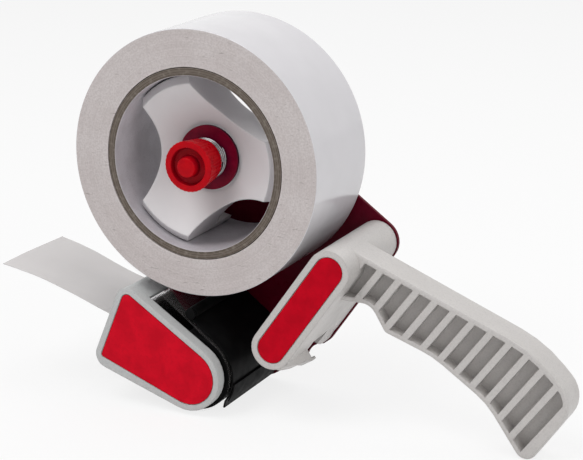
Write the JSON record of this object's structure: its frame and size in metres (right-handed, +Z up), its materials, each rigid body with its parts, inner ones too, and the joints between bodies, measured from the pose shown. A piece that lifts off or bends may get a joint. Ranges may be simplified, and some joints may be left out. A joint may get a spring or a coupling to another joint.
{
  "type": "packing tape dispenser",
  "caption": "Hand-held packing tape dispenser with a roll on a braked hub, an applicator roller, a serrated blade, a tape flap and a ribbed handle.",
  "frame": {"origin": "centre of the object's box on the surface that it stands on", "axes": "+X from the free tape towards the handle, +Y from the open side towards the side plate, +Z up"},
  "size_m": [0.2648, 0.059, 0.1697],
  "materials": {
    "grey_plastic": "moulded light grey, soft sheen",
    "red_label": "plain red film label, bare",
    "red_plastic": "glossy red moulding",
    "dark_red_plastic": "dark red moulding",
    "maroon_paint": "dark maroon powder coat",
    "steel": "bright zinc plated",
    "black_steel": "black coated sheet",
    "black_plastic": "black moulding",
    "black_rubber": "smooth black rubber",
    "nylon": "natural nylon",
    "cardboard": "grey brown paperboard",
    "tape_film": "pale adhesive film, glossy outside"
  },
  "bodies": {
    "dispenser": {"side_plate": "maroon_paint", "grip_housing": "grey_plastic", "grip_label": "red_label", "nose_guard": "grey_plastic", "nose_label": "red_label", "blade_holder": "black_plastic", "cutting_blade": "steel", "blade_screw_1": "steel", "blade_screw_2": "steel", "housing_screw_1": "steel", "housing_screw_2": "steel", "housing_screw_3": "steel", "holder_screw_1": "steel", "holder_screw_2": "steel", "nose_screw_1": "steel", "roller_axle": "steel", "roller_washer_near": "nylon", "roller_washer_far": "nylon", "hub_stud": "steel", "hub_rear_washer": "nylon", "brake_washer": "dark_red_plastic", "brake_spring": "steel", "flap_pin": "black_steel", "tape_tail": "tape_film"},
    "reel": {"reel_hub": "grey_plastic", "tape_core": "cardboard", "tape_winding": "tape_film"},
    "roller": {"applicator_roller": "black_rubber", "roller_core": "black_plastic"},
    "flap": {"tape_flap": "black_steel", "flap_wiper": "black_rubber"},
    "brake_carrier": {"spring_seat_washer": "steel"},
    "knob": {"brake_knob": "red_plastic"}
  },
  "joints": [
    {"name": "reel_spin", "type": "hinge", "parent": "dispenser", "child": "reel", "pos_m": [-0.03335, 0, 0.1117], "axis": [0, 1, 0], "continuous": true},
    {"name": "roller_spin", "type": "hinge", "parent": "dispenser", "child": "roller", "pos_m": [-0.03435, 0, 0.0175], "axis": [0, 1, 0], "continuous": true},
    {"name": "flap_swing", "type": "hinge", "parent": "dispenser", "child": "flap", "pos_m": [-0.03591, 0, 0.04448], "axis": [0, -1, 0], "range_deg": [0, 22]},
    {"name": "brake_travel", "type": "slide", "parent": "dispenser", "child": "brake_carrier", "axis": [0, 1, 0], "range_m": [-0.0025, 0.0008], "deforming": ["brake_spring"]},
    {"name": "brake_turn", "type": "hinge", "parent": "brake_carrier", "child": "knob", "pos_m": [-0.03335, 0, 0.1117], "axis": [0, 1, 0], "range_deg": [-720.5, 231]}
  ],
  "couplings": [
    {"joint": "roller_spin", "follows": "reel_spin", "ratio": -3.3689},
    {"joint": "brake_turn", "follows": "brake_travel", "rad_per_m": 5026.5}
  ]
}
